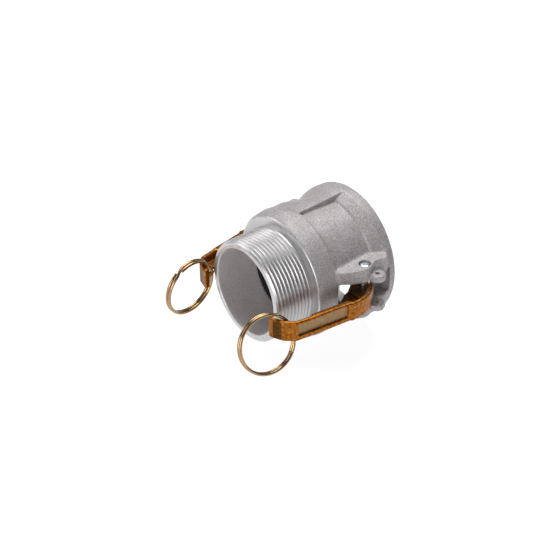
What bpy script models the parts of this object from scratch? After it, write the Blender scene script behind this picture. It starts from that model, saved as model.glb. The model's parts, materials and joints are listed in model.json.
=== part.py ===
"""A 2-inch type B camlock coupler: a cast body with a male pipe thread, two cam arms, pins and pull rings.

Millimetres are used throughout and turned into metres by the constant MM. The origin is the centre of the
thread's end face. +Y runs along the bore to the mouth, +Z along both hinge pins, and +X to the right arm.
"""

import math

import bmesh
import bpy
from mathutils import Matrix, Vector

MM = 0.001
CLEAR = 0.3

# Thread, BSP 2 inch taper
PITCH = 2.309
THREAD_RADIUS = 29.2
THREAD_TAPER = 1 / 32
THREAD_DEPTH = 1.35
THREAD_TURNS = 9
THREAD_START = 1.6
BORE_RADIUS = 24.8
BORE_END = 26.0

# Body, stations along Y
COLLAR_FACE = 23.6
STEP = 37.3
FLANGE_FOOT = 62.0
FLANGE_TOP = 68.5
LENGTH = 74.6
COLLAR_RADIUS = 35.7
FLOOR_RADIUS = 34.7
FLANGE_RADIUS = 39.3
CUP_RADIUS = 31.8
LEDGE_ANGLE = 88.7

# Gasket and its seat
SEAT_START = 27.0
SEAT_WIDTH = 6.9
SEAT_RADIUS = 33.5
GASKET_BORE = 25.4

# Hinge pins and ears
PIN_OUT = 37.0
PIN_STATION = 53.3
PIN_RADIUS = 3.0
EAR_INNER = 7.4
EAR_OUTER = 15.0
EAR_RISE = 0.055
EAR_START = 37.0
SLOT_RADIUS = 17.6
SLOT_OUT = 46.6
SLOT_STATION = 50.0
SLOT_END = 70.4
SLOT_REAR = [(37.0, SLOT_END), (33.0, 68.0), (33.0, 60.0), (29.0, 59.2)]

# Safety-clip tabs beside the ears
TAB_OUT = 43.2
TAB_STATION = 57.2
TAB_RADIUS = 4.3
TAB_TOP = 11.2
TAB_HOLE = 1.25
HOLE_REACH = 20.0

# Cam arms, measured from the pin: F forward to the tip, O outward
ARM_HALF_WIDTH = 6.0
HEAD_SHARE = 0.9
HEAD_F, TIP_F = 20, 56
RIGHT_ARM_DROP = 0.6
LEFT_ARM_DROP = 1.5
WALL = 2.4
RIM_DEPTH = 3.6
RIM_WIDTH = 1.5
WEB_HALF = 0.9
PANEL_LOW, PANEL_HIGH = -2.8, 4.1
CAM_HALF_WIDTH = 3.4
CAM_REACH = 8.2
CAM_NOSE = 4.2
EYE_F, EYE_O, EYE_RADIUS = 54.4, 2.7, 2.95
LEFT_ARM_CLOSING = math.radians(8)

# Pull rings
RING_RADIUS = 16.0
RING_WIRE = 0.85
RING_HALF_SPAN = 0.85
RIGHT_RING = ((39.28, -15.32, -5.47), (0.954, -0.117, 0.278), (39.63, -0.18, -0.31))
LEFT_RING = ((-29.88, -15.26, -5.59), (0.987, 0.132, -0.094), (-31.52, 0.07, -1.31))

SEGMENTS = 60


def metal(name, colour, roughness, metallic=1.0):
    """A plain Principled material."""
    material = bpy.data.materials.new(name)
    material.use_nodes = True
    shader = material.node_tree.nodes["Principled BSDF"]
    shader.inputs["Base Color"].default_value = (*colour, 1)
    shader.inputs["Roughness"].default_value = roughness
    shader.inputs["Metallic"].default_value = metallic
    return material


def link(name, bm, material=None, parent=None):
    """A new object from a bmesh built in millimetres."""
    bmesh.ops.scale(bm, vec=(MM, MM, MM), verts=bm.verts)
    bmesh.ops.recalc_face_normals(bm, faces=bm.faces)
    mesh = bpy.data.meshes.new(name)
    bm.to_mesh(mesh)
    bm.free()
    mesh.shade_smooth()
    mesh.set_sharp_from_angle(angle=math.radians(32))
    if material:
        mesh.materials.append(material)
    obj = bpy.data.objects.new(name, mesh)
    bpy.context.scene.collection.objects.link(obj)
    obj.parent = parent
    return obj


def helper(name, bm):
    """An object that only takes part in a Boolean."""
    obj = link(name, bm)
    obj.hide_render = True
    obj.display_type = "WIRE"
    return obj


def boolean(obj, operand, operation):
    modifier = obj.modifiers.new(operand.name, "BOOLEAN")
    modifier.object = operand
    modifier.operation = operation
    modifier.solver = "EXACT"


def hinge_point(name, x, y, z):
    """An empty on a joint's axis."""
    empty = bpy.data.objects.new(name, None)
    empty.location = (x * MM, y * MM, z * MM)
    bpy.context.scene.collection.objects.link(empty)
    return empty


def add_rings(bm, rings):
    """Faces between rings of points, with both ends capped."""
    loops = [[bm.verts.new(point) for point in ring] for ring in rings]
    for below, above in zip(loops, loops[1:]):
        for i in range(len(below)):
            j = (i + 1) % len(below)
            bm.faces.new((below[i], below[j], above[j], above[i]))
    bm.faces.new(loops[0])
    bm.faces.new(reversed(loops[-1]))


def turned(profile, angles):
    """Rings about the Y axis from (station, radius) pairs, where a radius may depend on the angle."""
    rings = []
    for station, radius in profile:
        ring = []
        for angle in angles:
            r = radius(math.degrees(angle)) if callable(radius) else radius
            ring.append(Vector((r * math.cos(angle), station, r * math.sin(angle))))
        rings.append(ring)
    return rings


def extrude(bm, outline, low, high):
    """A prism along Z from an (x, y) outline."""
    add_rings(bm, [[Vector((x, y, z)) for x, y in outline] for z in (low, high)])


def circle(x, y, radius, count=32):
    turn = 2 * math.pi / count
    return [(x + radius * math.cos(i * turn), y + radius * math.sin(i * turn)) for i in range(count)]


def arc(x, y, radius, start, end, count):
    """Points on an arc, its angles in degrees."""
    step = math.radians(end - start) / (count - 1)
    first = math.radians(start)
    return [
        (x + radius * math.cos(first + i * step), y + radius * math.sin(first + i * step))
        for i in range(count)
    ]


def smooth(value, low, high):
    """0 below low, 1 above high, and a smooth rise between them."""
    t = min(max((value - low) / (high - low), 0), 1)
    return t * t * (3 - 2 * t)


# Body


def pad_share(degrees):
    """1 on the raised pads, 0 on the recessed panels. The pads are half a turn apart."""
    degrees = degrees % 180
    if degrees < LEDGE_ANGLE:
        return 0
    return 1 - smooth(degrees, 148, 158)


def collar_share(degrees):
    """The collar swells smoothly from the panels' side to the pads' side."""
    degrees = degrees % 180
    return smooth(degrees, 62, 112) * (1 - smooth(degrees, 148, 168))


def collar_radius(growth):
    return lambda degrees: COLLAR_RADIUS + growth * collar_share(degrees)


def wall_radius(at_ledge, beyond, floor=FLOOR_RADIUS):
    """The cup's outer radius: a panel's floor, or a pad at_ledge beside it and beyond further round."""

    def radius(degrees):
        pad = at_ledge + (beyond - at_ledge) * smooth(degrees % 180, 94, 116)
        return floor + (pad - floor) * pad_share(degrees)

    return radius


def thread_profile():
    """Ridges at each turn of the taper thread."""
    profile = []
    for turn in range(THREAD_TURNS):
        station = THREAD_START + turn * PITCH
        crest = THREAD_RADIUS + station * THREAD_TAPER
        profile.append((station, crest))
        profile.append((station + PITCH / 2, crest - THREAD_DEPTH))
    last = THREAD_START + THREAD_TURNS * PITCH
    return profile + [(last, THREAD_RADIUS + last * THREAD_TAPER)]


def body_angles():
    """Even divisions, with two close together at each ledge."""
    whole = {i * 360 / SEGMENTS for i in range(SEGMENTS)}
    for half in (0, 180):
        whole -= {half + 90}
        whole |= {half + LEDGE_ANGLE - 0.2, half + LEDGE_ANGLE + 0.2}
    return [math.radians(degrees) for degrees in sorted(whole)]


def outer_profile():
    root = THREAD_RADIUS - THREAD_DEPTH
    return (
        [(0, root)]
        + thread_profile()
        + [
            (COLLAR_FACE, THREAD_RADIUS + COLLAR_FACE * THREAD_TAPER),
            (COLLAR_FACE, COLLAR_RADIUS - 0.9),
            (COLLAR_FACE + 2.2, collar_radius(0.9)),
            (COLLAR_FACE + 8.5, collar_radius(1.9)),
            (STEP - 0.2, collar_radius(1.5)),
            (STEP + 0.2, wall_radius(36.6, 37.2)),
            (STEP + 6, wall_radius(36.9, 37.6)),
            (STEP + 13, wall_radius(37.3, 36.0)),
            (STEP + 19, wall_radius(37.7, 35.8)),
            (FLANGE_FOOT, wall_radius(38.1, 37.0)),
            (FLANGE_FOOT + 3, wall_radius(38.7, 38.6, 36.6)),
            (FLANGE_TOP, FLANGE_RADIUS),
            (LENGTH - 3.2, FLANGE_RADIUS),
            (LENGTH - 1.2, FLANGE_RADIUS - 0.5),
            (LENGTH, FLANGE_RADIUS - 1.9),
        ]
    )


def inner_profile():
    lip = SEAT_START + SEAT_WIDTH
    return [
        (-1, BORE_RADIUS + 1.6),
        (0.6, BORE_RADIUS),
        (BORE_END, BORE_RADIUS),
        (SEAT_START, BORE_RADIUS + 1),
        (SEAT_START, SEAT_RADIUS),
        (lip, SEAT_RADIUS),
        (lip, CUP_RADIUS),
        (LENGTH - 1.8, CUP_RADIUS),
        (LENGTH + 1, CUP_RADIUS + 2.8),
    ]


def ear_outline():
    """The lens-shaped plate that holds one end of a pin, seen along the pin."""
    inner = CUP_RADIUS - 0.8
    return [
        (inner, 36.2),
        (34.0, 36.2),
        (35.4, 37.2),
        (38.4, 41.4),
        (40.6, 45.4),
        (41.9, 49.0),
        (42.2, 51.6),
        (41.6, 53.8),
        (40.4, 56.0),
        (39.2, 58.4),
        (38.9, 60.6),
        (39.8, 62.6),
        (40.9, 64.6),
        (40.5, 66.6),
        (38.6, 68.4),
        (35.6, 69.4),
        (inner, 69.8),
    ]


def slot_outline():
    """The arm's opening: milled round at its front end, and a pocket in the flange at its rear end."""
    front = arc(SLOT_OUT, SLOT_STATION, SLOT_RADIUS, 180, 270, 16)
    return front + [(SLOT_OUT + 6, SLOT_END)] + SLOT_REAR


def raise_ears(bm):
    """The ears grow a little thicker towards the flange."""
    for vert in bm.verts:
        if abs(vert.co.z) > EAR_INNER + 1:
            rise = max(vert.co.y - EAR_START, 0) * EAR_RISE
            vert.co.z += math.copysign(rise, vert.co.z)


def both_sides(outline):
    """The outline on the right side, and turned half a turn about Y on the left."""
    return outline, [(-x, y) for x, y in outline]


def coupler_body(material):
    bm = bmesh.new()
    add_rings(bm, turned(outer_profile(), body_angles()))
    body = link("coupler_body", bm, material)

    ears = bmesh.new()
    tabs = bmesh.new()
    tab = circle(TAB_OUT, TAB_STATION, TAB_RADIUS, 24)
    for side in range(2):
        for low, high, tab_high in (
            (EAR_INNER, EAR_OUTER, TAB_TOP),
            (-EAR_OUTER, -EAR_INNER, -TAB_TOP),
        ):
            extrude(ears, both_sides(ear_outline())[side], low, high)
            extrude(tabs, both_sides(tab)[side], *sorted((math.copysign(EAR_INNER, low), tab_high)))
    raise_ears(ears)
    boolean(body, helper("ear_tool", ears), "UNION")
    boolean(body, helper("tab_tool", tabs), "UNION")

    bore = bmesh.new()
    add_rings(bore, turned(inner_profile(), body_angles()))
    boolean(body, helper("bore_tool", bore), "DIFFERENCE")

    slots = bmesh.new()
    pins = bmesh.new()
    tab_holes = bmesh.new()
    pin_hole = circle(PIN_OUT, PIN_STATION, PIN_RADIUS + CLEAR, 28)
    tab_hole = circle(TAB_OUT, TAB_STATION, TAB_HOLE, 14)
    for side in range(2):
        extrude(slots, both_sides(slot_outline())[side], -EAR_INNER, EAR_INNER)
        extrude(pins, both_sides(pin_hole)[side], -HOLE_REACH, HOLE_REACH)
        extrude(tab_holes, both_sides(tab_hole)[side], -HOLE_REACH, HOLE_REACH)
    boolean(body, helper("slot_tool", slots), "DIFFERENCE")
    boolean(body, helper("pin_hole_tool", pins), "DIFFERENCE")
    boolean(body, helper("tab_hole_tool", tab_holes), "DIFFERENCE")
    return body


def gasket(material):
    """The flat face seal in its seat: a rectangular ring with small chamfers."""
    start = SEAT_START + CLEAR
    end = SEAT_START + SEAT_WIDTH - CLEAR
    outer = SEAT_RADIUS - CLEAR
    section = [
        (start, GASKET_BORE),
        (start, outer - 0.5),
        (start + 0.5, outer),
        (end - 0.5, outer),
        (end, outer - 0.5),
        (end, GASKET_BORE),
    ]
    bm = bmesh.new()
    angles = [i * 2 * math.pi / SEGMENTS for i in range(SEGMENTS)]
    loops = [[bm.verts.new(point) for point in ring] for ring in turned(section, angles)]
    for below, above in zip(loops, loops[1:] + loops[:1]):
        for i in range(SEGMENTS):
            j = (i + 1) % SEGMENTS
            bm.faces.new((below[i], below[j], above[j], above[i]))
    return link("gasket", bm, material)


# Pins, arms and rings


def pivot_pin(name, side, material):
    """A plain pin with chamfered ends, a little below the ears' outer faces."""
    length = EAR_OUTER + 0.4
    chamfer = 0.5
    bm = bmesh.new()
    rings = []
    for z, radius in (
        (-length, PIN_RADIUS - chamfer),
        (-length + chamfer, PIN_RADIUS),
        (length - chamfer, PIN_RADIUS),
        (length, PIN_RADIUS - chamfer),
    ):
        rings.append([Vector((x, y, z)) for x, y in circle(0, 0, radius, 28)])
    add_rings(bm, rings)
    pin = link(name, bm, material)
    pin.location = (side * PIN_OUT * MM, PIN_STATION * MM, 0)
    return pin


def arm_back():
    """The arm's outer face as (F, O) points, from the cam head out to the panel and round the hooked tip."""
    head = [(-2.6, 4.2), (-0.4, 6.8), (2.4, 9.4), (5.8, 11.4), (10.0, 12.8), (14.4, 13.4), (19.2, 13.5)]
    panel = [(20.6, 12.5), (32, 11.4), (43, 10.4), (53.4, 9.2)]
    tip = [(54.6, 8.7), (59.9, 4.0), (62.2, -1.4), (62.6, -3.8)]
    return head + panel + tip


def inset(points, depth):
    """The points moved sideways to the body's side by depth."""
    moved = []
    for i, (f, o) in enumerate(points):
        before = points[max(i - 1, 0)]
        after = points[min(i + 1, len(points) - 1)]
        run = Vector((after[0] - before[0], after[1] - before[1])).normalized()
        moved.append((f + run.y * depth, o - run.x * depth))
    return moved


def taper(bm):
    """The arm is narrower at its head than at its tip."""
    for vert in bm.verts:
        toward_tip = min(max((-vert.co.y - HEAD_F) / (TIP_F - HEAD_F), 0), 1)
        vert.co.z *= HEAD_SHARE + (1 - HEAD_SHARE) * toward_tip


def to_local(points, side):
    """(F, O) points to the arm's own x and y: the tip lies towards -Y and the back faces outward."""
    return [(side * o, -f) for f, o in points]


def cam_outline():
    """The eccentric cam about the pin: its nose reaches into the cup when the arm lies along the body."""
    nose = arc(0.9, CAM_NOSE - CAM_REACH, CAM_NOSE, 215, 345, 9)
    foot = [(10.2, -1.2), (11.2, 2.0), (11.4, 11.0)]
    return [(-4.2, -2.4)] + nose + foot + [(1.0, 6.4), (-1.8, 5.6), (-3.6, 3.4), (-4.2, 0.8)]


def web_outline():
    """The web that stiffens the back, deepest at the hooked tip."""
    back = arm_back()
    middle = inset(back, 1.0)
    near_tip = [(61.2, -3.6), (57.2, -2.3), (54.9, -1.9), (52.2, 0.0), (49.0, 1.4), (46.0, 2.2)]
    inner = near_tip + [(38.0, 3.8), (24.0, 4.4), (17.5, 1.8), (13.0, -1.4), (5.0, -3.4)]
    return [(1.0, 3.6)] + middle[2:-1] + inner


def cam_arm(name, side, turn, drop, material):
    empty = hinge_point(name + "_hinge", side * PIN_OUT, PIN_STATION, -drop)
    empty.rotation_euler = (0, 0, turn)

    back = arm_back()
    bm = bmesh.new()
    extrude(bm, to_local(back + inset(back, WALL)[::-1], side), -ARM_HALF_WIDTH, ARM_HALF_WIDTH)
    taper(bm)
    arm = link(name, bm, material, empty)

    rims = bmesh.new()
    edge = [point for point in back if 19 < point[0] < 48] + [(48, 9.8)]
    rim = to_local(inset(edge, 0.4) + inset(edge, RIM_DEPTH)[::-1], side)
    for low in (-ARM_HALF_WIDTH, ARM_HALF_WIDTH - RIM_WIDTH):
        extrude(rims, rim, low, low + RIM_WIDTH)
    taper(rims)
    boolean(arm, attached(helper(name + "_rim_tool", rims), empty), "UNION")

    web = bmesh.new()
    extrude(web, to_local(web_outline(), side), -WEB_HALF, WEB_HALF)
    boolean(arm, attached(helper(name + "_web_tool", web), empty), "UNION")

    cam = bmesh.new()
    extrude(cam, to_local(cam_outline(), side), -CAM_HALF_WIDTH, CAM_HALF_WIDTH)
    boolean(arm, attached(helper(name + "_cam_tool", cam), empty), "UNION")

    holes = bmesh.new()
    extrude(holes, circle(0, 0, PIN_RADIUS + CLEAR, 28), -HOLE_REACH, HOLE_REACH)
    extrude(holes, to_local(circle(EYE_F, EYE_O, EYE_RADIUS, 24), side), -2 * WEB_HALF, 2 * WEB_HALF)
    boolean(arm, attached(helper(name + "_hole_tool", holes), empty), "DIFFERENCE")

    panel = bmesh.new()
    recess = [(21.6, 11.2), (21.6, 16), (53.0, 13), (53.0, 8.1)]
    extrude(panel, to_local(recess, side), PANEL_LOW, PANEL_HIGH)
    boolean(arm, attached(helper(name + "_panel_tool", panel), empty), "DIFFERENCE")
    return arm


def attached(obj, parent):
    obj.parent = parent
    return obj


def pull_ring(name, centre, normal, hinge, material):
    """A split ring as one band: two wires side by side, so its section is a stadium."""
    empty = hinge_point(name + "_hinge", *hinge)
    section = [(RING_HALF_SPAN + d, r) for d, r in arc(0, 0, RING_WIRE, -90, 90, 5)]
    section += [(-RING_HALF_SPAN - d, -r) for d, r in arc(0, 0, RING_WIRE, -90, 90, 5)]
    count = 48
    bm = bmesh.new()
    loops = []
    for i in range(count):
        angle = 2 * math.pi * i / count
        loop = []
        for along, out in section:
            r = RING_RADIUS + out
            loop.append(bm.verts.new((r * math.cos(angle), r * math.sin(angle), along)))
        loops.append(loop)
    for loop, following in zip(loops, loops[1:] + loops[:1]):
        for i in range(len(section)):
            j = (i + 1) % len(section)
            bm.faces.new((loop[i], loop[j], following[j], following[i]))
    aim = Vector(normal).to_track_quat("Z", "Y").to_matrix().to_4x4()
    place = Matrix.Translation(Vector(centre) - Vector(hinge))
    bmesh.ops.transform(bm, matrix=place @ aim, verts=bm.verts)
    return link(name, bm, material, empty)


def build():
    for obj in list(bpy.data.objects):
        bpy.data.objects.remove(obj)

    cast = metal("cast_aluminium", (0.42, 0.40, 0.40), 0.55)
    brass = metal("brass", (0.62, 0.32, 0.09), 0.3)
    zinc = metal("zinc_plate", (0.55, 0.62, 0.68), 0.3)
    chromate = metal("chromate_wire", (0.60, 0.52, 0.34), 0.25)
    rubber = metal("rubber", (0.012, 0.012, 0.013), 0.6, 0.0)

    coupler_body(cast)
    gasket(rubber)
    pivot_pin("right_pivot_pin", 1, zinc)
    pivot_pin("left_pivot_pin", -1, zinc)
    cam_arm("right_cam_arm", 1, 0, RIGHT_ARM_DROP, brass)
    cam_arm("left_cam_arm", -1, LEFT_ARM_CLOSING, LEFT_ARM_DROP, brass)
    pull_ring("right_pull_ring", *RIGHT_RING, chromate)
    pull_ring("left_pull_ring", *LEFT_RING, chromate)


build()
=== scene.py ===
"""A 2-inch type B camlock coupling in plain studio light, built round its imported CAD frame.

The shapes are written in millimetres and become metres when a mesh is made. The thread's end face is at the
origin, +Y runs along the bore to the mouth, +Z along the hinge pins and +X to the right arm. A casting is
drawn as a signed distance field, so that it has its fillets and rounded edges.
"""

import json
import math

import bpy
import numpy as np
from mathutils import Matrix, Vector

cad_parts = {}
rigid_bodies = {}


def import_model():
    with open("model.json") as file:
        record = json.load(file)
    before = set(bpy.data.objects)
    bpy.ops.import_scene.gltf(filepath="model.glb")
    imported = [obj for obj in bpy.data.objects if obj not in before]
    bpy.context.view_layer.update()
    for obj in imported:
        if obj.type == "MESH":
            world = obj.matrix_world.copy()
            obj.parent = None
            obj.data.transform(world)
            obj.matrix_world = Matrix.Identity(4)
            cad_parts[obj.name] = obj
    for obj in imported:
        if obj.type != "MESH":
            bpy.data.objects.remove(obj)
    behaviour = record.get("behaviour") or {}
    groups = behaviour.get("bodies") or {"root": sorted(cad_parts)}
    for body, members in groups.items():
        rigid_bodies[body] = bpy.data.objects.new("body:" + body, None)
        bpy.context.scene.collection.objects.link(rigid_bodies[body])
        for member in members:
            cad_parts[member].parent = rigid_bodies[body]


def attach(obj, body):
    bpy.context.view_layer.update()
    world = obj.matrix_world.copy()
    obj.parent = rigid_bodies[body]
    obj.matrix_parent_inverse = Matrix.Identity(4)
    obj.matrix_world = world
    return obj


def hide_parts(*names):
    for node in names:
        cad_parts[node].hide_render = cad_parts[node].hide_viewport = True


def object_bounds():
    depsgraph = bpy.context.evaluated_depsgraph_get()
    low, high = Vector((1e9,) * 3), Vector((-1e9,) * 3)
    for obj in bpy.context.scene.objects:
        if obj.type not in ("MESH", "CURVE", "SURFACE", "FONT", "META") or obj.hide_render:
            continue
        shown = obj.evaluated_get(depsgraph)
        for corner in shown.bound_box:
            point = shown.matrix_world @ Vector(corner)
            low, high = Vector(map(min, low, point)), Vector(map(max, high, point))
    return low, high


for startup_object in list(bpy.data.objects):
    bpy.data.objects.remove(startup_object)
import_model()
CAD_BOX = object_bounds()

MM = 0.001

# Body
PITCH = 2.309
THREAD_RADIUS = 29.2
THREAD_TAPER = 1 / 32
THREAD_DEPTH = 1.35
THREAD_END = 22.4
BORE_RADIUS = 24.8
COLLAR_FACE = 23.6
STEP = 37.3
LENGTH = 74.6
SEAT_START = 27.0
SEAT_END = 33.9
SEAT_RADIUS = 33.5
CUP_RADIUS = 31.8
MOUTH_CHAMFER = 1.8
LEDGE_ANGLE = 88.7
EAR_INNER = 7.4
EAR_OUTER = 15.0
EAR_RISE = 0.055
EAR_START = 37.0

# The arm's slot and the safety-clip tab: distance outward, station and radius
SLOT = (46.6, 50.0, 17.6)
SLOT_END = 70.4
TAB = (43.2, 57.2, 4.3)
TAB_TOP = 11.2
TAB_HOLE = 1.25

# The slot's rear pocket: its inner wall, where that wall starts, its far corner and its end's slope
POCKET_WALL = 33.0
POCKET_START = 60.0
POCKET_CORNER = 68.0
POCKET_SLOPE = 0.6

# Spans of angle, in degrees from the right side: where the pads and the collar's swelling come and go
PAD_LIFT = (94, 116)
PAD_FADE = (148, 158)
COLLAR_LIFT = (62, 112)
COLLAR_FADE = (148, 168)

# Hinge pins
PIN_OUT = 37.0
PIN_STATION = 53.3
PIN_RADIUS = 3.0
PIN_CLEAR = 0.3
PIN_END = EAR_OUTER + 0.4

# Arms, measured from the pin: F forward to the tip, O outward
ARM_HALF_WIDTH = 6.0
HEAD_SHARE = 0.9
HEAD_F, TIP_F = 20, 56
WALL = 2.4
RIM_DEPTH = 3.6
RIM_WIDTH = 1.5
WEB_HALF = 0.9
CAM_HALF_WIDTH = 3.4

# The ring's eye: F, O and radius
EYE = (54.4, 2.7, 3.15)

# The panel's middle and half width along Z at its head end, and how far each has moved at its tip end
PANEL_MIDDLE, PANEL_SHIFT = 0.85, 0.4
PANEL_HALF, PANEL_NARROWING = 3.7, 0.45

# Each arm's side, turn about its pin and drop along it
RIGHT_ARM = (1, 0.0, 0.6)
LEFT_ARM = (-1, math.radians(8), 1.5)

# Rings: centre and normal, as in the CAD
RIGHT_RING = ((39.28, -15.32, -5.47), (0.954, -0.117, 0.278))
LEFT_RING = ((-29.88, -15.26, -5.59), (0.987, 0.132, -0.094))
RING_RADIUS = 16.0
RING_WIRE = 0.88
RING_STEPS = 420
WIRE_SIDES = 16


# Fields and meshes


def blend_min(a, b, k):
    """The union of two fields, filleted over about k millimetres."""
    h = np.maximum(k - np.abs(a - b), 0) / k
    return np.minimum(a, b) - h * h * k / 4


def blend_max(a, b, k):
    """The intersection of two fields, its edges rounded over about k millimetres."""
    return -blend_min(-a, -b, k)


def cut(a, b, k):
    """Field a with b taken away, the new edges rounded over about k millimetres."""
    return blend_max(a, -b, k)


def smooth(value, low, high):
    """0 below low, 1 above high, and a smooth rise between them."""
    t = np.clip((value - low) / (high - low), 0, 1)
    return t * t * (3 - 2 * t)


def polygon(x, y, outline):
    """The signed distance to a closed outline."""
    nearest = np.inf
    inside = False
    for (ax, ay), (bx, by) in zip(outline, outline[1:] + outline[:1]):
        ex, ey = bx - ax, by - ay
        wx, wy = x - ax, y - ay
        t = np.clip((wx * ex + wy * ey) / (ex * ex + ey * ey), 0, 1)
        nearest = np.minimum(nearest, (wx - ex * t) ** 2 + (wy - ey * t) ** 2)
        if ay != by:
            inside = inside ^ (((ay > y) != (by > y)) & (wx < ex * wy / ey))
    return np.where(inside, -1, 1) * np.sqrt(nearest)


def disc(x, y, circle):
    """The signed distance to a circle given as its centre and radius."""
    return np.hypot(x - circle[0], y - circle[1]) - circle[2]


def softened(points, times=2, closed=False):
    """The points with their corners cut, the ends kept."""
    for _ in range(times):
        cut_points = [] if closed else [points[0]]
        pairs = zip(points, points[1:] + points[:1]) if closed else zip(points, points[1:])
        for (ax, ay), (bx, by) in pairs:
            cut_points.append((ax * 0.75 + bx * 0.25, ay * 0.75 + by * 0.25))
            cut_points.append((ax * 0.25 + bx * 0.75, ay * 0.25 + by * 0.75))
        points = cut_points if closed else cut_points + [points[-1]]
    return points


def surface_net(field, low, high, step):
    """Points and quads where the field is zero. It is negative inside and positive at the box's sides."""
    axes = [np.arange(a, b + step, step) for a, b in zip(low, high)]
    shape = tuple(len(axis) for axis in axes)
    grid = (axes[0][:, None, None], axes[1][None, :, None], axes[2][None, None, :])
    values = np.broadcast_to(field(*grid), shape).astype(np.float32)
    inside = values < 0
    count = np.zeros([n - 1 for n in shape], np.int8)
    corners = [(i, j, k) for i in (0, 1) for j in (0, 1) for k in (0, 1)]
    for i, j, k in corners:
        count += inside[i : shape[0] - 1 + i, j : shape[1] - 1 + j, k : shape[2] - 1 + k]
    mixed = (count > 0) & (count < 8)
    cells = np.argwhere(mixed)
    index = np.full(mixed.shape, -1, np.int32)
    index[mixed] = np.arange(len(cells))

    at = {c: values[cells[:, 0] + c[0], cells[:, 1] + c[1], cells[:, 2] + c[2]] for c in corners}
    total = np.zeros((len(cells), 3))
    number = np.zeros(len(cells))
    for start in corners:
        for axis in range(3):
            if start[axis]:
                continue
            end = tuple(c + (n == axis) for n, c in enumerate(start))
            crosses = (at[start] < 0) != (at[end] < 0)
            share = np.where(crosses, at[start] / np.where(crosses, at[start] - at[end], 1), 0)
            for n in range(3):
                total[:, n] += np.where(crosses, start[n] + (share if n == axis else 0), 0)
            number += crosses
    points = (cells + total / number[:, None]) * step + np.array(low)
    points = settled(field, points, step)

    quads = []
    for axis in range(3):
        u, v = (axis + 1) % 3, (axis + 2) % 3
        first = np.moveaxis(inside, (axis, u, v), (0, 1, 2))
        start = first[:-1, 1:-1, 1:-1]
        ends = first[1:, 1:-1, 1:-1]
        cell = np.moveaxis(index, (axis, u, v), (0, 1, 2))
        for outward, mask in ((True, start & ~ends), (False, ~start & ends)):
            a, b, c = np.nonzero(mask)
            ring = [cell[a, b, c], cell[a, b + 1, c], cell[a, b + 1, c + 1], cell[a, b, c + 1]]
            quads.append(np.stack(ring if outward else ring[::-1], 1))
    return points, np.concatenate(quads)


def settled(field, points, step):
    """The points moved onto the field's zero surface."""
    h = 0.02
    for _ in range(3):
        x, y, z = points.T
        value = field(x, y, z)
        slope = np.stack([field(x + h, y, z), field(x, y + h, z), field(x, y, z + h)], 1) - value[:, None]
        slope /= h
        move = slope * (value / np.maximum((slope**2).sum(1), 0.3))[:, None]
        length = np.linalg.norm(move, axis=1, keepdims=True)
        points = points - move * np.minimum(1, 0.4 * step / np.maximum(length, 1e-9))
    return points


def make_object(name, points, faces, materials, chosen=None):
    """A smooth-shaded object from points in millimetres, with one material index for each face."""
    mesh = bpy.data.meshes.new(name)
    faces = np.asarray(faces, np.int32)
    mesh.vertices.add(len(points))
    mesh.vertices.foreach_set("co", (np.asarray(points, np.float64) * MM).astype(np.float32).ravel())
    mesh.loops.add(faces.size)
    mesh.loops.foreach_set("vertex_index", faces.ravel())
    mesh.polygons.add(len(faces))
    mesh.polygons.foreach_set("loop_start", np.arange(0, faces.size, faces.shape[1], dtype=np.int32))
    mesh.polygons.foreach_set("loop_total", np.full(len(faces), faces.shape[1], np.int32))
    for material in materials:
        mesh.materials.append(material)
    if chosen is not None:
        mesh.polygons.foreach_set("material_index", np.asarray(chosen, np.int32))
    mesh.update(calc_edges=True)
    mesh.validate()
    mesh.shade_smooth()
    obj = bpy.data.objects.new(name, mesh)
    bpy.context.scene.collection.objects.link(obj)
    return obj


def face_centres(points, faces):
    return points[faces].mean(axis=1)


def face_normals(points, faces):
    corners = points[faces]
    normal = np.cross(corners[:, 2] - corners[:, 0], corners[:, 3] - corners[:, 1])
    return normal / np.maximum(np.linalg.norm(normal, axis=1, keepdims=True), 1e-12)


def around(columns):
    """Angles all the way round, in equal steps."""
    return 2 * math.pi * np.arange(columns) / columns


def turned(profile, columns):
    """Rings of points about the Y axis, from (station, radius) pairs."""
    turn = around(columns)
    return np.stack([np.stack([r * np.cos(turn), s + 0 * turn, r * np.sin(turn)], -1) for s, r in profile])


def skin(rings, closed):
    """Points and quads over an array of rings. If it is closed, the last ring joins the first."""
    rows, columns = rings.shape[:2]
    i, j = np.meshgrid(np.arange(rows if closed else rows - 1), np.arange(columns), indexing="ij")
    up, right = (i + 1) % rows, (j + 1) % columns
    quads = np.stack([i * columns + j, i * columns + right, up * columns + right, up * columns + j], -1)
    return rings.reshape(-1, 3), quads.reshape(-1, 4)


# Materials


def shader_of(name):
    material = bpy.data.materials.new(name)
    material.use_nodes = True
    return material, material.node_tree, material.node_tree.nodes["Principled BSDF"]


def node(tree, kind, values=None, **settings):
    made = tree.nodes.new(kind)
    for key, value in settings.items():
        setattr(made, key, value)
    for key, value in (values or {}).items():
        made.inputs[key].default_value = value
    return made


def object_coordinates(tree):
    return node(tree, "ShaderNodeTexCoord").outputs["Object"]


def noise(tree, place, scale, detail=3.0, roughness=0.5):
    made = node(tree, "ShaderNodeTexNoise", {"Scale": scale, "Detail": detail, "Roughness": roughness})
    tree.links.new(place, made.inputs["Vector"])
    return made.outputs["Fac"]


def ramp(tree, factor, stops):
    """A colour ramp from (position, colour) stops."""
    made = node(tree, "ShaderNodeValToRGB")
    while len(made.color_ramp.elements) < len(stops):
        made.color_ramp.elements.new(0.5)
    for element, (position, colour) in zip(made.color_ramp.elements, stops):
        element.position = position
        element.color = (*colour, 1)
    tree.links.new(factor, made.inputs["Fac"])
    return made.outputs["Color"]


def two_tone(tree, factor, dark, light):
    """A colour that goes from dark to light over the middle of the factor's range."""
    return ramp(tree, factor, [(0.3, dark), (0.7, light)])


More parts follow.
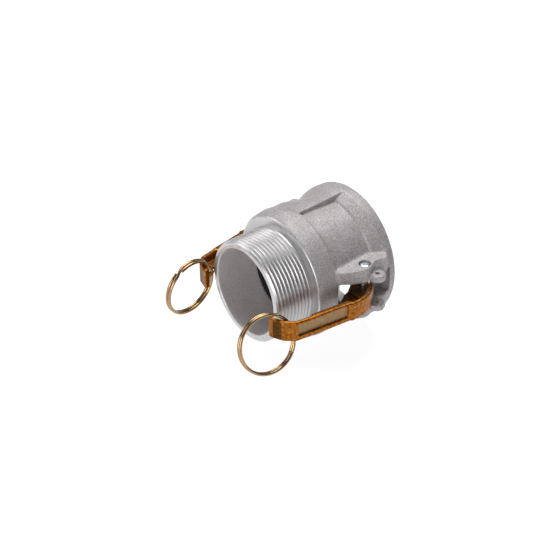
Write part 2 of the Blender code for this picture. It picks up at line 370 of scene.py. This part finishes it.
def span(tree, factor, low, high):
    """The factor's range from 0.3 to 0.7 turned into low to high."""
    limits = {"From Min": 0.3, "From Max": 0.7, "To Min": low, "To Max": high}
    made = node(tree, "ShaderNodeMapRange", limits)
    tree.links.new(factor, made.inputs["Value"])
    return made.outputs["Result"]


def multiplied(tree, first, second):
    """One colour times another."""
    made = node(tree, "ShaderNodeMix", {"Factor": 1.0}, data_type="RGBA", blend_type="MULTIPLY")
    tree.links.new(first, made.inputs["A"])
    tree.links.new(second, made.inputs["B"])
    return made.outputs["Result"]


def bump(tree, shader, heights):
    """Stacks (height, strength, distance) into the shader's normal."""
    normal = None
    for height, strength, distance in heights:
        made = node(tree, "ShaderNodeBump", {"Strength": strength, "Distance": distance})
        tree.links.new(height, made.inputs["Height"])
        if normal:
            tree.links.new(normal, made.inputs["Normal"])
        normal = made.outputs["Normal"]
    tree.links.new(normal, shader.inputs["Normal"])


def stretched(tree, place, scale):
    made = node(tree, "ShaderNodeMapping", {"Scale": scale})
    tree.links.new(place, made.inputs["Vector"])
    return made.outputs["Vector"]


def cast_material():
    """Sand-cast aluminium: a fine bright grain over a soft uneven skin."""
    material, tree, shader = shader_of("cast_aluminium")
    place = object_coordinates(tree)
    grain = noise(tree, place, 1450, 4, 0.75)
    blotch = noise(tree, place, 140, 4, 0.6)
    base = two_tone(tree, blotch, (0.36, 0.337, 0.337), (0.42, 0.397, 0.399))
    specks = [(0.38, (0.62, 0.61, 0.61)), (0.5, (0.97, 0.97, 0.97)), (0.62, (1.38, 1.38, 1.40))]
    speck = ramp(tree, grain, specks)
    tree.links.new(multiplied(tree, base, speck), shader.inputs["Base Color"])
    tree.links.new(span(tree, grain, 0.44, 0.6), shader.inputs["Roughness"])
    shader.inputs["Metallic"].default_value = 0.25
    bump(tree, shader, [(blotch, 0.25, 0.00025), (grain, 0.6, 0.00015)])
    return material


def painted_light_bore_material():
    """The unmachined wall of the bore, duller than the outside, in shade inside the bore; its base colour
    is painted lighter than the outside's as painted light.
    """
    material, tree, shader = shader_of("cast_bore_painted_light")
    place = object_coordinates(tree)
    grain = noise(tree, place, 1500, 4, 0.75)
    blotch = noise(tree, place, 90, 4, 0.6)
    base = two_tone(tree, blotch, (0.46, 0.43, 0.425), (0.52, 0.49, 0.485))
    specks = [(0.36, (0.76, 0.75, 0.75)), (0.5, (1, 1, 1)), (0.64, (1.2, 1.2, 1.21))]
    speck = ramp(tree, grain, specks)
    tree.links.new(multiplied(tree, base, speck), shader.inputs["Base Color"])
    tree.links.new(span(tree, grain, 0.5, 0.66), shader.inputs["Roughness"])
    shader.inputs["Metallic"].default_value = 0.2
    bump(tree, shader, [(grain, 0.5, 0.00012)])
    return material


def machined_material():
    """Turned aluminium: bright, with fine rings about the Y axis."""
    material, tree, shader = shader_of("machined_aluminium")
    place = object_coordinates(tree)
    rings = noise(tree, stretched(tree, place, (60, 5200, 60)), 1, 2, 0.5)
    wide = noise(tree, place, 60, 3, 0.5)
    base = two_tone(tree, wide, (0.50, 0.49, 0.495), (0.60, 0.59, 0.595))
    tree.links.new(base, shader.inputs["Base Color"])
    tree.links.new(span(tree, rings, 0.24, 0.38), shader.inputs["Roughness"])
    shader.inputs["Metallic"].default_value = 0.7
    bump(tree, shader, [(rings, 0.25, 0.00004)])
    return material


def brass_material(name, dark, light, roughness):
    """Cast brass: warm and uneven, with small pits."""
    material, tree, shader = shader_of(name)
    place = object_coordinates(tree)
    blotch = noise(tree, place, 650, 5, 0.7)
    grain = noise(tree, place, 1500, 3, 0.6)
    tree.links.new(ramp(tree, blotch, [(0.38, dark), (0.62, light)]), shader.inputs["Base Color"])
    tree.links.new(span(tree, grain, roughness - 0.07, roughness + 0.09), shader.inputs["Roughness"])
    shader.inputs["Metallic"].default_value = 1.0
    bump(tree, shader, [(blotch, 0.3, 0.0003), (grain, 0.35, 0.00008)])
    return material


def zinc_material():
    """Bright blue-white zinc plate."""
    material, tree, shader = shader_of("zinc_plate")
    place = object_coordinates(tree)
    cloud = noise(tree, place, 300, 3, 0.5)
    base = two_tone(tree, cloud, (0.55, 0.66, 0.74), (0.74, 0.84, 0.90))
    tree.links.new(base, shader.inputs["Base Color"])
    tree.links.new(span(tree, cloud, 0.18, 0.3), shader.inputs["Roughness"])
    shader.inputs["Metallic"].default_value = 1.0
    bump(tree, shader, [(noise(tree, place, 1400, 2), 0.2, 0.00005)])
    return material


def chromate_material():
    """Yellow chromate over zinc: patches of straw, pink and green."""
    material, tree, shader = shader_of("chromate_wire")
    place = object_coordinates(tree)
    cloud = noise(tree, place, 110, 4, 0.6)
    colours = [
        (0.30, (0.30, 0.23, 0.08)),
        (0.45, (0.42, 0.29, 0.14)),
        (0.55, (0.40, 0.23, 0.15)),
        (0.70, (0.25, 0.24, 0.08)),
    ]
    tree.links.new(ramp(tree, cloud, colours), shader.inputs["Base Color"])
    tree.links.new(span(tree, noise(tree, place, 900, 3), 0.10, 0.22), shader.inputs["Roughness"])
    shader.inputs["Metallic"].default_value = 1.0
    bump(tree, shader, [(noise(tree, place, 1800, 2), 0.2, 0.00005)])
    return material


def rubber_material():
    """Dull black rubber."""
    material, tree, shader = shader_of("rubber")
    place = object_coordinates(tree)
    grain = noise(tree, place, 1800, 3, 0.6)
    base = two_tone(tree, grain, (0.006, 0.006, 0.007), (0.014, 0.014, 0.015))
    tree.links.new(base, shader.inputs["Base Color"])
    tree.links.new(span(tree, grain, 0.5, 0.65), shader.inputs["Roughness"])
    bump(tree, shader, [(grain, 0.3, 0.00008)])
    return material


CAST = cast_material()
# The bore's wall colour is painted lighter, as painted light for the shaded inside of the bore
BORE = painted_light_bore_material()
MACHINED = machined_material()
BRASS = brass_material("brass", (0.17, 0.048, 0.004), (0.42, 0.16, 0.026), 0.34)
BRASS_PANEL = brass_material("brass_panel", (0.28, 0.17, 0.085), (0.38, 0.25, 0.135), 0.5)
# Brass painted dark: painted shade for the hollow inside of the arm's head, and a painted dark reflection
# on one facet of the hook
BRASS_PAINTED_SHADE = brass_material("brass_painted_shade", (0.06, 0.024, 0.005), (0.13, 0.055, 0.012), 0.4)
ZINC = zinc_material()
CHROMATE = chromate_material()
RUBBER = rubber_material()


# Body


def soft_profile(points, blur):
    """A radius as a smooth function of the station, from (station, radius) points."""
    stations, radii = zip(*points)
    fine = 0.05
    table = np.arange(0, LENGTH + 2, fine)
    values = np.interp(table, stations, radii)
    width = int(blur / fine)
    padded = np.pad(values, width, mode="edge")
    kernel = np.ones(width) / width
    values = np.convolve(np.convolve(padded, kernel, "same"), kernel, "same")[width:-width]
    return lambda station: np.interp(station, table, values)


FLANGE = [(68.5, 39.3), (80, 39.3)]
PANEL_FLOOR = [(0, 34.7), (61.8, 34.7), (62.8, 35.9)]
PAD_AT_LEDGE = [(37.5, 36.6), (43, 36.9), (50, 37.3), (56, 37.7), (62, 38.1), (65, 38.7)]
PAD_BEYOND = [(34, 38), (37.5, 37.2), (43, 37.6), (50, 36), (56, 35.8), (62, 37), (65, 38.6)]
FLOOR = soft_profile(PANEL_FLOOR + FLANGE, 0.6)
AT_LEDGE = soft_profile(PAD_AT_LEDGE + FLANGE, 1.4)
BEYOND = soft_profile(PAD_BEYOND + FLANGE, 1.4)
COLLAR = soft_profile([(23, 34.6), (24, 35.0), (26.0, 35.7), (40, 35.7)], 0.8)
COLLAR_GROWTH = soft_profile([(23.6, 0), (25.8, 0.9), (32.1, 1.9), (37.1, 1.5)], 1.2)


def outer_radius(degrees, station):
    """The casting's outer radius, without its ears."""
    turn = degrees % 180
    pad_share = smooth(turn, LEDGE_ANGLE - 0.5, LEDGE_ANGLE + 0.5) * (1 - smooth(turn, *PAD_FADE))
    collar_share = smooth(turn, *COLLAR_LIFT) * (1 - smooth(turn, *COLLAR_FADE))
    floor = FLOOR(station)
    pad = AT_LEDGE(station) + (BEYOND(station) - AT_LEDGE(station)) * smooth(turn, *PAD_LIFT)
    wall = floor + (pad - floor) * pad_share
    collar = COLLAR(station) + COLLAR_GROWTH(station) * collar_share
    return collar + (wall - collar) * smooth(station, STEP - 0.5, STEP + 0.6)


EAR_OUTLINE = [
    (28.0, 36.4),
    (34.0, 36.4),
    (35.4, 37.2),
    (38.4, 41.4),
    (40.6, 45.4),
    (41.9, 49.0),
    (42.2, 51.6),
    (41.6, 53.8),
    (40.4, 56.0),
    (39.2, 58.4),
    (38.9, 60.6),
    (39.8, 62.6),
    (40.9, 64.6),
    (40.5, 66.6),
    (38.6, 68.4),
    (35.6, 69.4),
    (28.0, 69.8),
]
EAR = EAR_OUTLINE[:2] + softened(EAR_OUTLINE[2:-1], 1) + EAR_OUTLINE[-1:]


def body_field(x, y, z):
    """The casting from the collar to the mouth."""
    radius = np.hypot(x, z)
    degrees = np.degrees(np.arctan2(z, x))
    side = np.abs(x)
    height = np.abs(z)
    solid = radius - outer_radius(degrees, y)
    rise = EAR_RISE * np.maximum(y - EAR_START, 0)
    ears = blend_max(polygon(side, y, EAR), height - EAR_OUTER - rise, 0.8)
    tabs = blend_max(disc(side, y, TAB), height - TAB_TOP, 0.8)
    solid = blend_min(solid, ears, 1.8)
    solid = blend_min(solid, tabs, 0.9)
    solid = blend_max(solid, COLLAR_FACE - y, 0.9)
    solid = blend_max(solid, y - LENGTH, 1.6)
    slope = (y - POCKET_CORNER - POCKET_SLOPE * (side - POCKET_WALL)) / math.hypot(1, POCKET_SLOPE)
    rear = np.maximum(y - SLOT_END, slope)
    rear = np.maximum(rear, np.minimum(POCKET_WALL - side, y - POCKET_START))
    square = np.maximum(np.maximum(SLOT[0] - SLOT[2] - side, rear), SLOT[1] - y)
    slots = np.maximum(np.minimum(disc(side, y, SLOT), square), height - EAR_INNER)
    solid = cut(solid, slots, 0.5)
    inner = np.where(y < SEAT_START, BORE_RADIUS + 0.4, np.where(y < SEAT_END, SEAT_RADIUS, CUP_RADIUS))
    inner = inner + np.maximum(y - LENGTH + MOUTH_CHAMFER, 0)
    solid = cut(solid, radius - inner, 0.3)
    pin_holes = np.hypot(side - PIN_OUT, y - PIN_STATION) - PIN_RADIUS - PIN_CLEAR
    tab_holes = np.hypot(side - TAB[0], y - TAB[1]) - TAB_HOLE
    return cut(cut(solid, pin_holes, 0.35), tab_holes, 0.35)


def coupler_body():
    """The cast cup, with its machined faces in their own material."""
    step = 0.42
    points, quads = surface_net(body_field, (-50, 22.6, -42), (50, 76, 42), step)
    x, y, z = face_centres(points, quads).T
    normals = face_normals(points, quads)
    radius = np.hypot(x, z)
    outward = (x * normals[:, 0] + z * normals[:, 2]) / np.maximum(radius, 1e-6)
    collar_face = (y < COLLAR_FACE + 0.5) & (radius < 36)
    cup_wall = (radius < CUP_RADIUS + 3.2) & (outward < -0.2)
    mouth = (y > LENGTH - 0.5) & (radius < 38)
    off_slot = np.abs(np.hypot(np.abs(x) - SLOT[0], y - SLOT[1]) - SLOT[2])
    slot_wall = (off_slot < 0.25) & (np.abs(z) < EAR_INNER + 0.2) & (y < 48)
    machined = collar_face | cup_wall | mouth | slot_wall
    return make_object("cast_cup", points, quads, [CAST, MACHINED], machined)


def thread_radius(station, turn):
    """The radius of the helical thread, which runs out at THREAD_END and has a chamfered start."""
    crest = THREAD_RADIUS + station * THREAD_TAPER
    phase = (station / PITCH + turn / (2 * math.pi)) % 1
    ridge = 1 - np.abs(2 * phase - 1)
    ridge = 0.7 * ridge + 0.3 * (0.5 - 0.5 * np.cos(2 * np.pi * phase))
    ridge = np.minimum(ridge / 0.93, 1)
    ridge = 1 - (1 - ridge) * (1 - smooth(station, THREAD_END - 1.6, THREAD_END))
    return np.minimum(crest - THREAD_DEPTH * (1 - ridge), THREAD_RADIUS - 1.45 + station)


def threaded_neck():
    """The neck as one grid: along the thread on the outside, back through the bore and over the rim."""
    columns = 360
    turn = around(columns)
    thread = np.arange(0.25, THREAD_END, 0.13)
    runout = np.linspace(THREAD_END, COLLAR_FACE + 4, 14)
    outside = [(station, thread_radius(station, turn)) for station in np.concatenate([thread, runout])]
    lip = [(27.3, 26.4), (26.6, 25.2)]
    bore = [(26.0, BORE_RADIUS)]
    bore += [(station, BORE_RADIUS) for station in np.linspace(25, 2, 12)]
    bore += [(0.9, BORE_RADIUS)]
    rim = [(0.5, BORE_RADIUS + 0.08), (0.16, 25.15), (0.02, 25.45), (0, 25.8), (0, 26.6), (0, 27.45)]
    rim += [(0.06, 27.68)]
    profile = outside + lip + bore + rim
    points, quads = skin(turned(profile, columns), True)
    cast_from = len(outside) + 1
    cast_to = len(outside + lip + bore)
    row = np.arange(len(quads)) // columns
    machined = (row < cast_from) | (row >= cast_to)
    return make_object("threaded_neck", points, quads, [BORE, MACHINED], machined)


def gasket():
    """The face seal: a rubber ring with rounded lips."""
    section = [(27.3, 25.5), (27.3, 33.2), (33.6, 33.2), (33.6, 25.5), (32.2, 25.4), (28.7, 25.4)]
    points, quads = skin(turned(softened(section, 2, True), 180), True)
    return make_object("rubber_gasket", points, quads[:, ::-1], [RUBBER])


def pivot_pin(side, name):
    """A plain pin with turned-down ends, a little below the ears' faces."""
    steps = [(0, 0.02), (0.02, 1.3), (0.12, 2.1), (0.45, 2.75), (1.0, PIN_RADIUS)]
    end = [(PIN_END - step, r) for step, r in steps]
    profile = end + [(0, PIN_RADIUS)] + [(-z, r) for z, r in reversed(end)]
    turn = around(64)
    centre = np.array([side * PIN_OUT, PIN_STATION, 0])
    rings = [centre + np.stack([r * np.cos(turn), r * np.sin(turn), z + 0 * turn], -1) for z, r in profile]
    points, quads = skin(np.stack(rings), False)
    return make_object(name, points, quads[:, ::-1], [ZINC])


# Arms


def arm_back():
    """The arm's outer face as (F, O) points, from the cam head to the hooked tip."""
    head = [(-2.6, 4.2), (-0.4, 6.8), (2.4, 9.4), (5.8, 11.4), (10.0, 12.8), (14.4, 13.4), (19.2, 13.5)]
    panel = [(20.6, 12.5), (32, 11.4), (43, 10.4), (53.4, 9.2)]
    tip = [(54.6, 8.7), (59.0, 4.9), (59.7, 4.1), (62.2, -1.6), (62.4, -2.5), (62.6, -3.8)]
    return head + panel + tip


def inset(points, depth):
    """The points moved sideways to the body's side by depth."""
    moved = []
    for i, (f, o) in enumerate(points):
        before = points[max(i - 1, 0)]
        after = points[min(i + 1, len(points) - 1)]
        run = Vector((after[0] - before[0], after[1] - before[1])).normalized()
        moved.append((f + run.y * depth, o - run.x * depth))
    return moved


def arc(x, y, radius, start, end, count):
    """Points on an arc, its angles in degrees."""
    turns = np.radians(np.linspace(start, end, count))
    return [(x + radius * math.cos(t), y + radius * math.sin(t)) for t in turns]


OUTLINE = arm_back()
HEAD_POINTS = 7
BACK = softened(OUTLINE[:HEAD_POINTS], 2) + OUTLINE[HEAD_POINTS:]
BACK_WALL = BACK + inset(BACK, WALL)[::-1]
RIM_EDGE = [point for point in BACK if 18 < point[0] < 47]
RIM = inset(RIM_EDGE, 0.4) + inset(RIM_EDGE, RIM_DEPTH)[::-1]
NEAR_TIP = [(61.2, -3.6), (57.2, -2.3), (54.9, -1.9), (52.2, 0.0), (49.0, 1.4), (46.0, 2.2)]
WEB_INNER = NEAR_TIP + [(38.0, 3.8), (24.0, 4.4), (17.5, 1.8), (13.0, -1.4), (5.0, -3.4)]
WEB = [(1.0, 3.6)] + [point for point in inset(BACK, 1.0)[:-1] if point[0] > 1.5] + WEB_INNER
FOOT = [(10.2, -1.2), (11.2, 2.0), (11.4, 11.0), (1.0, 6.4), (-1.8, 5.6), (-3.6, 3.4), (-4.2, 0.8)]
CAM = [(-4.2, -2.4)] + arc(0.9, -4.0, 4.2, 215, 345, 9) + FOOT
PANEL = [(21.6, 11.2), (21.6, 16), (53.0, 13), (53.0, 8.1)]
PANEL_START, PANEL_LENGTH = 21, 32


def arm_field(f, o, z):
    """One arm, from its cam to its hooked tip."""
    toward_tip = np.clip((f - HEAD_F) / (TIP_F - HEAD_F), 0, 1)
    half_width = ARM_HALF_WIDTH * (HEAD_SHARE + (1 - HEAD_SHARE) * toward_tip)
    height = np.abs(z)
    edge = height - half_width
    solid = blend_max(polygon(f, o, BACK_WALL), edge, 1.1)
    rims = blend_max(polygon(f, o, RIM), edge, 0.8)
    rims = blend_max(rims, half_width - RIM_WIDTH - height, 0.6)
    solid = blend_min(solid, rims, 0.9)
    web = blend_max(polygon(f, o, WEB), height - WEB_HALF, 0.5)
    solid = blend_min(solid, web, 1.0)
    cam = blend_max(polygon(f, o, CAM), height - CAM_HALF_WIDTH, 0.8)
    solid = blend_min(solid, cam, 1.4)
    along = np.clip((f - PANEL_START) / PANEL_LENGTH, 0, 1)
    off_middle = np.abs(z - PANEL_MIDDLE + PANEL_SHIFT * along)
    panel = blend_max(polygon(f, o, PANEL), off_middle - PANEL_HALF + PANEL_NARROWING * along, 0.4)
    solid = cut(solid, panel, 0.5)
    solid = cut(solid, np.hypot(f, o) - PIN_RADIUS - PIN_CLEAR, 0.4)
    eye = np.maximum(disc(f, o, EYE), height - 3)
    return cut(solid, eye, 0.5)


def arm_brass_and_painted_shade(points, quads):
    """0 for bare brass, 1 for the panel's dull floor, 2 for painted shade: the hollow inside of the head,
    and one facet of the hook darkened as a painted dark reflection.
    """
    f, o, z = face_centres(points, quads).T
    normals = face_normals(points, quads)
    panel_floor = (polygon(f, o, PANEL) < 0.25) & (np.abs(z - 0.65) < 3.6) & (normals[:, 1] > 0.6)
    # Painted shade: the hollow inside of the arm's head gets the darkened brass
    inside = (polygon(f, o, BACK_WALL) > 0.05) & (f < 19) & (np.abs(z) < 5.2)
    # Painted reflection: this hook facet gets the darkened brass for the dark reflection it shows
    painted_reflection_facet = (normals @ np.array([0.92, 0.39, 0.0]) > 0.93) & (f > 60) & (o > -1.2)
    return np.where(inside | painted_reflection_facet, 2, np.where(panel_floor, 1, 0))


def cam_arms():
    """Both arms, from one surface: the left one is its mirror image, turned in a little."""
    step = 0.3
    points, quads = surface_net(arm_field, (-6, -10, -7.2), (65, 16, 7.2), step)
    material_choice = arm_brass_and_painted_shade(points, quads)
    f, o, z = points.T
    made = []
    for name, (side, turn, drop) in (("right_arm_casting", RIGHT_ARM), ("left_arm_casting", LEFT_ARM)):
        cos, sin = math.cos(turn), math.sin(turn)
        x = side * PIN_OUT + side * o * cos + f * sin
        y = PIN_STATION + side * o * sin - f * cos
        faces = quads if side > 0 else quads[:, ::-1]
        placed = np.stack([x, y, z - drop], 1)
        made.append(make_object(name, placed, faces, [BRASS, BRASS_PANEL, BRASS_PAINTED_SHADE], material_choice))
    return made


# Rings


def split_ring(name, placing, first):
    """Two coils of wire side by side. The wire crosses between them in a short jog beside its cut ends."""
    centre, normal = placing
    t = np.linspace(0, 4 * math.pi - 0.16, RING_STEPS)
    angle = t + first
    radial = np.stack([np.cos(angle), np.sin(angle), 0 * angle], 1)
    line = RING_RADIUS * radial
    line[:, 2] = (2 * smooth(t, 2 * math.pi - 0.30, 2 * math.pi + 0.14) - 1) * RING_WIRE
    tangent = np.gradient(line, axis=0)
    tangent /= np.linalg.norm(tangent, axis=1, keepdims=True)
    side = np.cross(tangent, radial)
    turn = around(WIRE_SIDES)

    def section(i, share=1.0, ahead=0.0):
        """The wire's outline at step i, at a share of its size and moved ahead along the wire."""
        outline = np.outer(np.cos(turn), radial[i]) + np.outer(np.sin(turn), side[i])
        return line[i] + ahead * tangent[i] + RING_WIRE * share * outline

    rings = [section(0, 0.02, -0.1), section(0, 0.85, -0.1)]
    rings += [section(i) for i in range(RING_STEPS)]
    rings += [section(-1, 0.85, 0.1), section(-1, 0.02, 0.1)]
    points, quads = skin(np.stack(rings), False)
    aim = Vector(normal).to_track_quat("Z", "Y").to_matrix()
    return make_object(name, points @ np.array(aim).T + np.array(centre), quads[:, ::-1], [CHROMATE])


# Assembly

PIECES = [
    (coupler_body(), "coupler", ["coupler_body"], "cast_aluminium"),
    (threaded_neck(), "coupler", ["coupler_body"], "cast_aluminium"),
    (gasket(), "coupler", ["gasket"], "rubber"),
    (pivot_pin(1, "right_pin"), "coupler", ["right_pivot_pin"], "zinc_plate"),
    (pivot_pin(-1, "left_pin"), "coupler", ["left_pivot_pin"], "zinc_plate"),
]
RIGHT_CASTING, LEFT_CASTING = cam_arms()
PIECES += [
    (RIGHT_CASTING, "right_arm", ["right_cam_arm"], "brass"),
    (LEFT_CASTING, "left_arm", ["left_cam_arm"], "brass"),
    (split_ring("right_split_ring", RIGHT_RING, 1.2), "right_ring", ["right_pull_ring"], "chromate_wire"),
    (split_ring("left_split_ring", LEFT_RING, 2.2), "left_ring", ["left_pull_ring"], "chromate_wire"),
]
for piece, body, nodes, material_choice in PIECES:
    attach(piece, body)
    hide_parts(*nodes)


# Studio


def studio_floor():
    """A wide pale floor just under the object."""
    material, tree, shader = shader_of("pale_floor")
    place = object_coordinates(tree)
    shade = two_tone(tree, noise(tree, place, 3, 2), (0.20, 0.20, 0.20), (0.22, 0.22, 0.22))
    tree.links.new(shade, shader.inputs["Base Color"])
    shader.inputs["Emission Color"].default_value = (1, 1, 1, 1)
    shader.inputs["Emission Strength"].default_value = 0.9
    shader.inputs["Roughness"].default_value = 0.9
    shader.inputs["Specular IOR Level"].default_value = 0.1
    half = 3000
    level = CAD_BOX[0].z / MM - 0.3
    points = [(-half, -half, level), (half, -half, level), (half, half, level), (-half, half, level)]
    make_object("studio_floor", np.array(points), [(0, 1, 2, 3)], [material])


def soft_light(name, position, size, power):
    """A white panel that faces the middle of the object."""
    aim = (0, 0.03, 0)
    data = bpy.data.lights.new(name, "AREA")
    data.shape = "RECTANGLE"
    data.size, data.size_y = size
    data.energy = power
    obj = bpy.data.objects.new(name, data)
    obj.location = position
    obj.rotation_euler = (Vector(aim) - Vector(position)).to_track_quat("-Z", "Y").to_euler()
    bpy.context.scene.collection.objects.link(obj)


def studio_camera():
    """A long lens, high on the right and ahead of the thread's end."""
    data = bpy.data.cameras.new("camera")
    data.sensor_width = 36
    data.lens = 83.57
    data.clip_start = 0.01
    place = Vector((0.4700, -0.3468, 0.3906))
    obj = bpy.data.objects.new("camera", data)
    right = Vector((0.621, 0.784, -0.002)).normalized()
    back = Vector((0.656, -0.518, 0.548))
    back = (back - right * back.dot(right)).normalized()
    up = back.cross(right)
    facing = Matrix((right, up, back)).transposed().to_4x4()
    obj.matrix_world = Matrix.Translation(place) @ facing
    bpy.context.scene.collection.objects.link(obj)
    bpy.context.scene.camera = obj


def studio_world():
    """A dim room, a little lighter overhead."""
    world = bpy.data.worlds.new("studio")
    world.use_nodes = True
    tree = world.node_tree
    split = node(tree, "ShaderNodeSeparateXYZ")
    tree.links.new(node(tree, "ShaderNodeTexCoord").outputs["Generated"], split.inputs["Vector"])
    stops = [(0.0, (0.06, 0.06, 0.06)), (0.5, (0.14, 0.14, 0.14)), (1.0, (0.24, 0.24, 0.25))]
    shade = ramp(tree, split.outputs["Z"], stops)
    tree.links.new(shade, tree.nodes["Background"].inputs["Color"])
    bpy.context.scene.world = world
    bpy.context.scene.view_settings.view_transform = "Standard"


studio_floor()
studio_camera()
studio_world()
soft_light("key", (-0.25, 0.25, 0.95), (0.9, 0.7), 10.5)
soft_light("left", (-0.9, -0.6, 0.5), (0.6, 0.6), 3)
soft_light("front", (0.45, -1.1, 0.3), (0.9, 0.6), 7)
